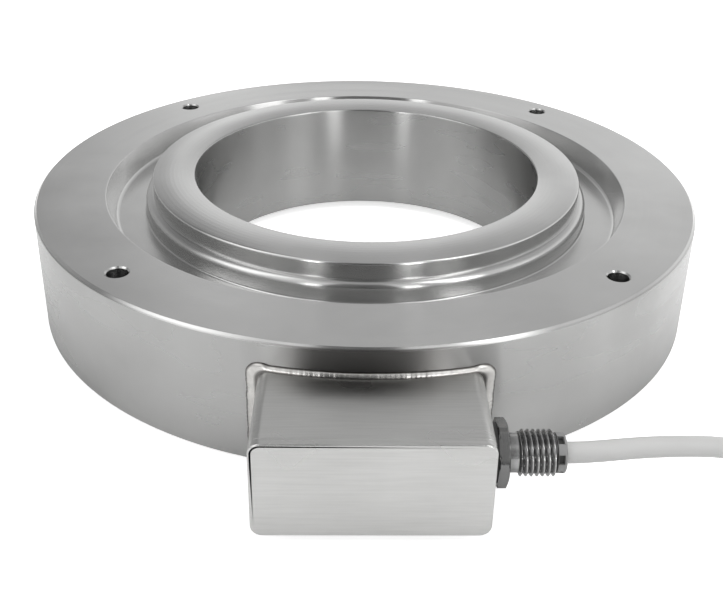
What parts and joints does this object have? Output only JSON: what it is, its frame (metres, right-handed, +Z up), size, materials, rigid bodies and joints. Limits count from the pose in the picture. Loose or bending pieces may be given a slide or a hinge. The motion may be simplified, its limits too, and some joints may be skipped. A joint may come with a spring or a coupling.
{
  "type": "ring load cell",
  "caption": "Flat round steel load cell with a raised hub round its through bore, a welded junction box on its side and a cable that leaves through a gland.",
  "frame": {"origin": "centre of the four fixing holes, which is the ring's axis, at the face that the outer foot stands on", "axes": "+Z up along the bore's axis, -Y towards the junction box, +X the way the cable leaves"},
  "size_m": [0.3957, 0.2698, 0.0469],
  "materials": {
    "ring_steel": "fine turned stainless steel",
    "cover_steel": "thin pressed stainless sheet",
    "box_steel": "ground and brushed stainless steel",
    "weld_steel": "unpolished weld with fine ripples",
    "gland_metal": "machined metal, satin",
    "screw_steel": "bright",
    "gauge_foil": "amber film with a metal grid",
    "solder_metal": "bright solder",
    "lead_copper": "enamelled copper",
    "loom_jacket": "white sleeving",
    "potting": "cast resin",
    "board_laminate": "green laminate",
    "terminal_plastic": "moulded plastic",
    "resistor_body": "lacquered",
    "seal_rubber": "matt",
    "cage_plastic": "moulded plastic",
    "core_jackets": "coloured insulation",
    "cable_jacket": "smooth light grey jacket",
    "sleeve_film": "shrunk film"
  },
  "bodies": {
    "root": {"board_screws": "screw_steel", "board_standoffs": "screw_steel", "box_front_plate": "box_steel", "box_housing": "box_steel", "box_weld_bead": "weld_steel", "bridge_loom": "loom_jacket", "cable": "cable_jacket", "cable_coil": "cable_jacket", "cable_end_cores": "core_jackets", "cable_end_sleeve": "sleeve_film", "cable_in_gland": "cable_jacket", "cable_tail": "cable_jacket", "circuit_board": "board_laminate", "duct_plug": "potting", "gauge_cover_ring": "cover_steel", "gauge_leads": "lead_copper", "gauge_solder_tabs": "solder_metal", "gland_body": "gland_metal", "gland_clamp_cage": "cage_plastic", "gland_locknut": "gland_metal", "gland_seal": "seal_rubber", "gland_washer": "seal_rubber", "inner_cores": "core_jackets", "ring_body": "ring_steel", "strain_gauge_1": "gauge_foil", "strain_gauge_2": "gauge_foil", "strain_gauge_3": "gauge_foil", "strain_gauge_4": "gauge_foil", "strain_gauge_5": "gauge_foil", "strain_gauge_6": "gauge_foil", "strain_gauge_7": "gauge_foil", "strain_gauge_8": "gauge_foil", "terminal_block": "terminal_plastic", "trim_resistors": "resistor_body"}
  },
  "joints": []
}
